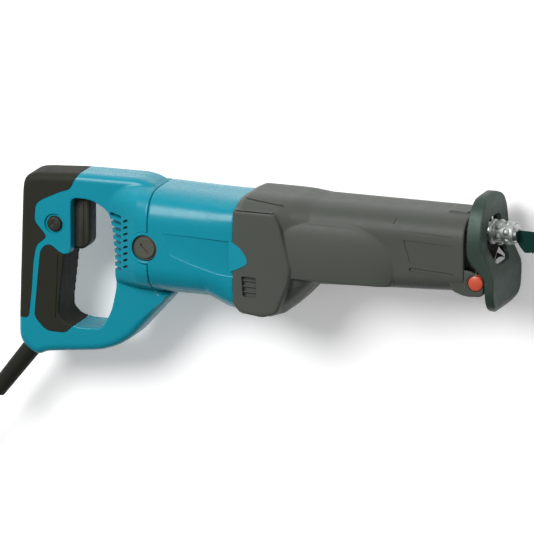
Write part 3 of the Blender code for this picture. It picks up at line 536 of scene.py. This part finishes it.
def make_motor():
    """The motor housing: hollow, with a plain panel, a brush boss and a tongue on each side."""
    form = loft("motor_form", MOTOR_STATIONS, 8)
    melt(form, 8)
    inside = [(125, MOTOR_STATIONS[0][1])] + MOTOR_STATIONS[1:-1] + [(230, MOTOR_STATIONS[-1][1])]
    combine(form, loft("motor_hollow", inside, 8, WALL))
    for side in SIDES:
        panel = pillow("panel", rounded(MOTOR_PANEL, 4), *sorted((side * 41.0, side * THROUGH)), 1.4)
        combine(form, panel)
        boss = spin("boss", [(side * 24, 14.4), (side * 39.6, 14.4), (side * 40.9, 13.6),
                             (side * 41, 12.6), (side * 40.6, 11.9), (side * 24, 11.9)],
                    axis="Y", centre=BRUSH_PLACE)
        tongue = side_slab("tongue", NOTCH, side, 40.6, 44.2, 2)
        combine(form, boss, operation='UNION')
        combine(form, tongue, operation='UNION')
        combine(form, spin("cap_bore", [(side * 33.5, 11.9), (side * THROUGH, 11.9)], axis="Y",
                           centre=BRUSH_PLACE),
                spin("brush_bore", [(side * 15, 6.9), (side * THROUGH, 6.9)], axis="Y",
                     centre=BRUSH_PLACE))
    finish(form, "teal", "casing", "teal_housing", "motor_housing")


# Gear housing cover and barrel

def barrel(top, bottom, width, keel):
    """A half section of the barrel."""
    return [(17, top), (28, top - 2.5), (width - 3, top - 9), (width, top - 17), (width, bottom + 13),
            (width - 6, bottom + 4), (keel, bottom)]


COVER_PANEL = [(20, 18), (30, 16), (40, 9.5), (42, 4), (42, -66), (39, -82), (24, -91)]
COVER_STATIONS = [
    (212.3, [(18, 15), (29, 12.5), (39, 6.5), (43.5, 0), (43.5, -64), (39, -80), (22, -88.5)]),
    (219, COVER_PANEL), (240, COVER_PANEL),
    (252, [(20, 18), (30, 16), (40, 9.5), (42, 4), (42, -66), (38, -78), (22, -87)]),
    (264, [(20, 18), (30, 15.5), (37, 8), (39, 2), (39, -58), (35, -69), (20, -76)]),
    (281, barrel(16.8, -58, 37, 18)),
    (424.5, barrel(17, -51, 37, 18))]
SIDE_PANEL = [(212.3, 9), (251.5, 9), (257.4, -4.8), (266.8, -40), (264.9, -54), (253.7, -82),
              (240, -86.5), (219, -84), (212.3, -76)]
POD_FROM, POD_NOSE, POD_TO = 256.0, 316.0, 361.5
POD_MIDDLE, POD_RISE, POD_REACH = (35.0, -33.0), 7.6, 35.0
POD_TIP_SIZE = 0.0004
POD_TIP_RINGS, POD_STEPS = 16, 72
LOUVRE_COUNT, LOUVRE_TOP, LOUVRE_PITCH = 3, -54.2, 5.1
LOUVRES = [(221, -50), (235, -50.5), (235, -68.5), (222.5, -68.5)]
NOSE_PANEL = [(368.8, -5.3), (416, -6.9), (416, -27.5), (375, -25.5)]
NOSE_SLOT = [(374.4, -29.6), (416, -31.6), (416, -35.8), (374.4, -32.8)]
CHEEK = [(410, -26), (432, -28.5), (440, -34), (442.2, -41), (442.2, -50.5), (426, -51.6), (412, -47)]
SHOE_BUTTON = (435, -39)


def pod(side):
    """The long bulge on the barrel's side, round in section, with a blunt nose."""
    rings = []
    nose = POD_TO - POD_NOSE
    tip = [POD_NOSE + nose * sin(pi / 2 * k / POD_TIP_RINGS) for k in range(POD_TIP_RINGS + 1)]
    for x in [POD_FROM] + tip:
        share = max(0, (x - POD_NOSE) / nose)
        size = max(POD_TIP_SIZE, 1 - share ** 2) ** 0.5
        ring = []
        for i in range(POD_STEPS):
            out = POD_MIDDLE[0] + POD_RISE * size * sin(2 * pi * i / POD_STEPS)
            z = POD_MIDDLE[1] + POD_REACH * size * cos(2 * pi * i / POD_STEPS)
            ring.append((x, side * out, z))
        rings.append(ring)
    kept = block("keep", (200, -THROUGH, -49.5), (400, THROUGH, 20))
    return combine(skin("pod", rings), kept, operation='INTERSECT')


def make_cover():
    """The rubber cover over the gear housing and the barrel, down to the nose's two cheeks."""
    form = loft("cover_form", COVER_STATIONS, 6)
    combine(form, pillow("side_panel", rounded(SIDE_PANEL, 3), -45, 45, 3, steps=4), operation='UNION')
    for side in SIDES:
        combine(form, pod(side), operation='UNION')
    ridge = facing("top_ridge", [(-15, 10), (15, 10), (12, 18.4), (-12, 18.4)], 402, 420)
    combine(form, ridge, operation='UNION')
    melt(form, 4)
    for side in SIDES:
        cheek = pillow("cheek", rounded(CHEEK, 5), *sorted((side * 26, side * 35.6)), 1.2, steps=3)
        combine(form, cheek, operation='UNION')
    inside = [(205, COVER_STATIONS[0][1])] + COVER_STATIONS[1:-1] + [(445, COVER_STATIONS[-1][1])]
    combine(form, loft("cover_hollow", inside, 6, WALL))
    for side in SIDES:
        combine(form, side_slab("notch", offset(rounded(NOTCH, 2), -0.4), side, 40.9, THROUGH),
                side_slab("louvre_bed", LOUVRES, side, 41.2, THROUGH, 2),
                side_slab("nose_panel", NOSE_PANEL, side, 36.3, THROUGH, 2),
                side_slab("nose_slot", NOSE_SLOT, side, 35.7, THROUGH, 1.2),
                spin("button_bore", [(side * 20, 7.3), (side * THROUGH, 7.3)], axis="Y",
                     centre=SHOE_BUTTON),
                spin("button_dish", [(side * 35.1, 8.6), (side * THROUGH, 8.6)], axis="Y",
                     centre=SHOE_BUTTON))
        groove(form, [(366.9, 2.9), (413, 0.8)], 0.9, side, 36.0, THROUGH)
        groove(form, [(216, 8.2), (250.5, 8.2)], 0.9, side, 41, THROUGH)
        groove(form, [(215, 16.2), (256, 13.4)], 0.9, side, 25, THROUGH)
        groove(form, [(361.5, 14), (358.5, 7.5)], 0.5, side, 30.4, THROUGH)
        for i in range(LOUVRE_COUNT):
            z = LOUVRE_TOP - LOUVRE_PITCH * i
            line = rounded([(221, z - 0.4), (235, z - 0.6), (235, z + 0.4), (221, z + 0.6)], 0.4, 2)
            bar = pillow("bar", line, *sorted((side * 40.6, side * 43.4)), 0.3, steps=2)
            combine(form, bar, operation='UNION')
    finish(form, "cover", "casing", "cover_rubber", "front_cover")


# Shoe, clamp and blade

SHOE_PIVOT = (431.5, -8.0)
SHOE_SIDE = [(428, 34), (436, 34), (440, 29), (440, -9), (452, -33), (452, -61), (447.5, -68),
             (443.6, -68), (443.6, -36), (441, -32.5), (433, -24), (427.6, -17), (427, -10), (427, 22)]
SHOE_POCKET = [(424, 52), (436.5, 52), (436.5, -9.2), (448.5, -34), (448.5, -96), (438, -96),
               (438, -35), (424, -12)]
SHOE_FACE = [(-12, 34), (12, 34), (24, 29), (31.5, 18), (36.5, 1), (36.5, -50), (31, -62), (18, -68),
             (-18, -68), (-31, -62), (-36.5, -50), (-36.5, 1), (-31.5, 18), (-24, 29)]
SHOE_WINDOW = [(-12, 15), (12, 15), (19, 6), (19, -18), (14, -27), (-14, -27), (-19, -18), (-19, 6)]


def make_shoe():
    """The shoe: a bent plate with a hollow back, a window and two lugs, and the shoe's button."""
    face = rounded(SHOE_FACE, 9)
    form = slab("shoe_form", rounded(SHOE_SIDE, 3), -36.5, 36.5)
    combine(form, facing("face", face, 400, 480), operation='INTERSECT')
    melt(form, 4)
    pocket = slab("pocket", SHOE_POCKET, -32.8, 32.8)
    combine(pocket, facing("face", offset(face, 3.7), 400, 480), operation='INTERSECT')
    combine(form, pocket, facing("window", rounded(SHOE_WINDOW, 5), 400, 480))
    for side in SIDES:
        lug_low, lug_high = sorted((side * 25.6, side * 29))
        lug = block("lug", (427, lug_low, -13), (437.5, lug_high, -3))
        combine(form, lug, operation='UNION')
        combine(form, spin("lug_hole", [(side * 24, 2.8), (side * 31, 2.8)], axis="Y", centre=SHOE_PIVOT,
                           steps=24))
    finish(form, "shoe", "shoe_plate", "shoe_steel", "shoe")
    profile = [(-29, 0), (-29, 7), (-33.6, 7), (-34.9, 6.5), (-35.5, 5.4), (-35.9, 0)]
    finish(spin("shoe_release_knob", profile, axis="Y", centre=SHOE_BUTTON), "orange", "shoe_release",
           "orange_plastic", "shoe_button")


def make_clamp():
    """The blade clamp: a sleeve with two rows of bumps around a core with the blade's slot."""
    profile = [(438, 8.8), (438, 10.4), (438.5, 10.9), (440.6, 10.9), (441.2, 9.7), (458.4, 9.7),
               (459.5, 9.2), (459.5, 8.8)]
    sleeve = spin("clamp_collar", profile)
    combine(sleeve, spin("bore", [(430, 8.8), (470, 8.8)]))
    for k, along in enumerate((446, 453.8)):
        for i in range(6):
            angle = 2 * pi * (i + 0.5 * k) / 6 + 0.3
            ball = [(-3.8 * cos(pi * j / 12), 3.8 * sin(pi * j / 12)) for j in range(13)]
            knob = spin("knob", ball, steps=24)
            knob.data.transform(move_by(along, 7.7 * sin(angle), 7.7 * cos(angle)))
            combine(sleeve, knob, operation='UNION')
    combine(sleeve, spin("bore", [(430, 8.75), (470, 8.75)]))
    finish(sleeve, "bright", "clamp_collar", "steel", "clamp_sleeve")
    core = spin("clamp_core", [(436.3, 0), (436.3, 8.4), (460, 8.4), (462, 7.4), (462.5, 6.2), (462.5, 0)])
    combine(core, block("blade_slot", (440, -0.95, -9.3), (470, 0.95, 4.3)))
    finish(core, "steel", "plunger_group", "steel", "clamp_body")


def move_by(x, y, z):
    """A shift in the tool frame's directions. It is added to a mesh drawn around the tool's origin."""
    return Matrix.Translation(Vector((x, z, -y)) * MM)


def make_blade():
    """The blade, its teeth cut from the tip back towards the clamp."""
    top = [(441, 3), (466, 3), (597, 1), (600, -3)]
    pitch, root, crest = 2.6, -15.4, -17.0
    first, last = 592, 470
    count = int((first - last) / pitch)
    teeth = []
    for i in range(count):
        start = first - i * pitch
        teeth += [(start, crest), (start - pitch * 0.3, root), (start - pitch * 0.85, crest + 0.7)]
    outline = top + teeth + [(468, -16.4), (464, -12), (461.5, -8), (441, -6)]
    body = slab("blade", outline, -0.6, 0.6)
    finish(body, "blade", "plunger_group", "blade_paint", "saw_blade", sharp=25)


# Cord

GUARD_START = (9.0, -142.5)
GUARD_ANGLE = radians(232)
GUARD_TIP = 60.3
CORD_RADIUS = 4.0
CORD_DROPS = [(0, 0), (10, 0), (20, 0.3), (32, 2.2), (44, 6.6), (56, 12.9), (68, 19.8), (80, 26.8),
              (92, 33), (102, 37.4), (110, 39.8), (117, 40.8), (123, 41), (140, 41)]
COIL_MEETING = 155.0
TURN_OUTER, TURN_INNER = 60.0, 33.0
TURNS_DOWN, TURNS_CLIMB = 3.2, 0.3
LAYER_LOW, LAYER_HIGH = 41.0, 32.7
WHOLE_TURNS, LEAVING_TURN = 6, 0.25
TURN_STEPS = 28
CORD_STEP = 9
PLUG_RUN = 36.3
CORD_IN_PLUG, PLUG_LIP = 1.2, 0.3


def guard_point(along):
    """The point (x, z) at a distance along the cord guard's axis."""
    return (GUARD_START[0] + along * cos(GUARD_ANGLE), GUARD_START[1] + along * sin(GUARD_ANGLE))


def curve_through(points, spacing):
    """Evenly spaced points on a Catmull-Rom curve."""
    line = []
    ends = [points[0] * 2 - points[1]] + points + [points[-1] * 2 - points[-2]]
    for a, b, c, d in zip(ends, ends[1:], ends[2:], ends[3:]):
        for i in range(16):
            t = i / 16
            line.append(0.5 * (2 * b + (c - a) * t + (2 * a - 5 * b + 4 * c - d) * t * t
                               + (3 * b - a - 3 * c + d) * t ** 3))
    line.append(points[-1])
    spaced, run = [line[0]], 0.0
    for p, q in zip(line, line[1:]):
        run += (q - p).length
        if run >= spacing:
            spaced.append(q)
            run = 0.0
    if (spaced[-1] - line[-1]).length < spacing / 2:
        spaced.pop()
    return spaced + [line[-1]]


def cord_line():
    """The whole cord from the guard's tip, in tool mm: a drop to the table, two layers of turns,
    inwards and then back outwards, and a short run to the plug."""
    heading = Vector((cos(GUARD_ANGLE), 0, sin(GUARD_ANGLE)))
    x, z = guard_point(GUARD_TIP)
    tip = Vector((x, 0, z))
    drop = [tip + heading * along + Vector((0, low, 0)) for along, low in CORD_DROPS]
    side = Vector((heading.z, 0, -heading.x))
    meeting = tip + heading * COIL_MEETING
    centre = Vector((meeting.x, 0, meeting.z)) + side * TURN_OUTER
    line = curve_through(drop, CORD_STEP)
    spoke = meeting - centre
    first = Vector((spoke.x, spoke.z)).normalized()
    out_turns = WHOLE_TURNS + (turn_of(first) - LEAVING_TURN) % 1 - TURNS_DOWN - TURNS_CLIMB
    total = TURNS_DOWN + TURNS_CLIMB + out_turns
    steps = round(total * TURN_STEPS)
    for i in range(steps + 1):
        done = total * i / steps
        if done < TURNS_DOWN:
            share = done / TURNS_DOWN
            radius, y = TURN_OUTER + (TURN_INNER - TURN_OUTER) * share, LAYER_LOW
        elif done < TURNS_DOWN + TURNS_CLIMB:
            share = (done - TURNS_DOWN) / TURNS_CLIMB
            blend = share * share * (3 - 2 * share)
            radius, y = TURN_INNER, LAYER_LOW + (LAYER_HIGH - LAYER_LOW) * blend
        else:
            share = (done - TURNS_DOWN - TURNS_CLIMB) / out_turns
            radius, y = TURN_INNER + (TURN_OUTER - TURN_INNER) * share, LAYER_HIGH
        angle = 2 * pi * (turn_of(first) - done)
        line.append(centre + Vector((radius * cos(angle), 0, radius * sin(angle))) + Vector((0, y, 0)))
    top = line[-1]
    for run in (CORD_STEP, 2 * CORD_STEP, 3 * CORD_STEP, PLUG_RUN + CORD_IN_PLUG):
        line.append(Vector((centre.x + run, LAYER_HIGH, top.z)))
    return line


def turn_of(direction):
    """The share of a full turn that a direction in the XZ plane makes with +X."""
    return atan2(direction.y, direction.x) / (2 * pi)


def tube(name, points, radius, look):
    """A round curve through points of the tool frame, with closed ends."""
    curve = bpy.data.curves.new(name, 'CURVE')
    curve.dimensions = '3D'
    curve.bevel_depth = radius * MM
    curve.bevel_resolution = 4
    curve.use_fill_caps = True
    spline = curve.splines.new('POLY')
    spline.points.add(len(points) - 1)
    for knot, point in zip(spline.points, points):
        knot.co = (*place(*point), 1.0)
    spline.use_smooth = True
    curve.materials.append(MATERIALS[look])
    made = bpy.data.objects.new(name, curve)
    SCENE.collection.objects.link(made)
    return made


def guard_size(along):
    """The cord guard's radius: a plain sleeve that tapers, with a softened tip."""
    taper = 8.5 - 1.0 * max(along, 0) / 60
    return taper - 1.6 * max(0, (along - 58.5) / 1.5) ** 2


def make_cord():
    """The free cord, its guard and its plug."""
    line = cord_line()
    cord = tube("cord_free", line, CORD_RADIUS, "cord")
    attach(cord, "casing")
    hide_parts("power_cord", "cord_coil", "cord_tail")
    guard = rod_along(-9, 60, guard_size, "strain_guard", steps=40)
    finish(guard, "cord", "casing", "cord_rubber", "cord_guard", sharp=60)
    plug = make_plug(line[-1].x - CORD_IN_PLUG + PLUG_LIP, LAYER_HIGH, line[-1].z)


def make_plug(start, y, z):
    """A two-pin plug lying along +X, with finger ribs on its grip."""
    rings = []
    stations = [(-0.3, 5.2, 5.2, 1), (3, 5.4, 5.4, 1), (18, 6.4, 6.4, 1), (22, 9.5, 8.6, 0.85),
                (26, 13.5, 10.2, 0.75), (31, 16.2, 11.4, 0.7), (36, 16.6, 11.5, 0.68),
                (37, 15.9, 10.9, 0.68), (38, 16.7, 11.6, 0.68), (41, 16.9, 11.6, 0.68),
                (42, 16.2, 11.0, 0.68), (43, 17.0, 11.7, 0.68), (54.5, 17.4, 11.8, 0.66),
                (56, 16.8, 11.3, 0.66), (56.5, 15.8, 10.4, 0.66)]
    for along, wide, high, power in stations:
        ring = []
        for i in range(48):
            s, c = sin(2 * pi * i / 48), cos(2 * pi * i / 48)
            across = abs(s) ** power * (1 if s >= 0 else -1)
            up = abs(c) ** power * (1 if c >= 0 else -1)
            ring.append((start + along, y + high * up, z + wide * across))
        rings.append(ring)
    return finish(skin("plug_grip", rings), "cord", "casing", "cord_rubber", "plug_body", sharp=60)


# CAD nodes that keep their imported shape

NODE_LOOKS = {
    "steel": ["handle_screw_1", "handle_screw_2", "handle_screw_3", "handle_screw_4", "field_core",
              "motor_bearing_rear", "motor_bearing_front", "armature_shaft", "armature_core",
              "wobble_bearing_rear", "wobble_bearing_front", "wobble_shaft", "wobble_arm",
              "drive_gear", "plunger", "shoe_slide", "shoe_pin_left", "shoe_pin_right"],
    "cast": ["gear_housing", "gear_plate"],
    "copper": ["field_coil_rear", "field_coil_front", "commutator"],
    "brass": ["brush_holder_left", "brush_holder_right", "plunger_bush_rear", "plunger_bush_front",
              "plug_pin_1", "plug_pin_2"],
    "carbon": ["carbon_brush_left", "carbon_brush_right"],
    "black": ["switch_body", "cord_clamp", "cooling_fan", "coil_tie", "dust_seal"],
}


def dress_nodes():
    """Gives each kept CAD node its material, through its slots only."""
    for look, names in NODE_LOOKS.items():
        for name in names:
            node = bpy.data.objects[name]
            if not node.data.materials:
                node.data.materials.append(None)
            for i in range(len(node.material_slots)):
                node.material_slots[i].link = 'OBJECT'
                node.material_slots[i].material = MATERIALS[look]


# Floor and lights, in metres: each light's name, place, size and power

FLOOR_REACH, FLOOR_DROP = 4, 0.0005
FLOOR_GLOW = 0.22
SKY_REACH, SKY_LOW, SKY_HIGH = 0.7, 0.06, 0.5
LIGHTS = (("key", (-0.82, 1.2, 1.8), 1.25, 60), ("fill", (1.3, 0.2, 2.2), 1.6, 8))


def make_studio():
    """A white floor, a white surrounding that is brighter towards +Y, and two soft lights."""
    mesh = bpy.data.meshes.new("floor")
    corners = [(x * FLOOR_REACH, y * FLOOR_REACH, -FLOOR_DROP)
               for x, y in ((-1, -1), (1, -1), (1, 1), (-1, 1))]
    mesh.from_pydata(corners, [], [(0, 1, 2, 3)])
    floor = bpy.data.objects.new("floor", mesh)
    SCENE.collection.objects.link(floor)
    plain = bpy.data.materials.new("floor_paper")
    plain.use_nodes = True
    shader = plain.node_tree.nodes["Principled BSDF"]
    shader.inputs["Base Color"].default_value = (0.92, 0.92, 0.92, 1)
    shader.inputs["Roughness"].default_value = 0.95
    shader.inputs["Specular IOR Level"].default_value = 0.1
    shader.inputs["Emission Color"].default_value = (1, 1, 1, 1)
    shader.inputs["Emission Strength"].default_value = FLOOR_GLOW
    mesh.materials.append(plain)
    world = bpy.data.worlds.new("studio")
    world.use_nodes = True
    nodes, links = world.node_tree.nodes, world.node_tree.links
    nodes["Background"].inputs["Color"].default_value = (1, 1, 1, 1)
    direction, parts = nodes.new("ShaderNodeTexCoord"), nodes.new("ShaderNodeSeparateXYZ")
    rise = nodes.new("ShaderNodeMapRange")
    rise.inputs["From Min"].default_value = -SKY_REACH
    rise.inputs["From Max"].default_value = SKY_REACH
    rise.inputs["To Min"].default_value = SKY_LOW
    rise.inputs["To Max"].default_value = SKY_HIGH
    links.new(direction.outputs["Generated"], parts.inputs["Vector"])
    links.new(parts.outputs["Y"], rise.inputs["Value"])
    links.new(rise.outputs["Result"], nodes["Background"].inputs["Strength"])
    SCENE.world = world
    SCENE.view_settings.view_transform = 'Standard'
    for name, where, size, power in LIGHTS:
        data = bpy.data.lights.new(name, 'AREA')
        data.shape = 'DISK'
        data.size = size
        data.energy = power
        light = bpy.data.objects.new(name, data)
        light.location = where
        light.rotation_euler = (-Vector(where)).to_track_quat('-Z', 'Y').to_euler()
        SCENE.collection.objects.link(light)


make_camera()
make_materials()
make_cord()
make_handle()
make_controls()
make_motor()
make_cover()
make_shoe()
make_clamp()
make_blade()
dress_nodes()
make_studio()
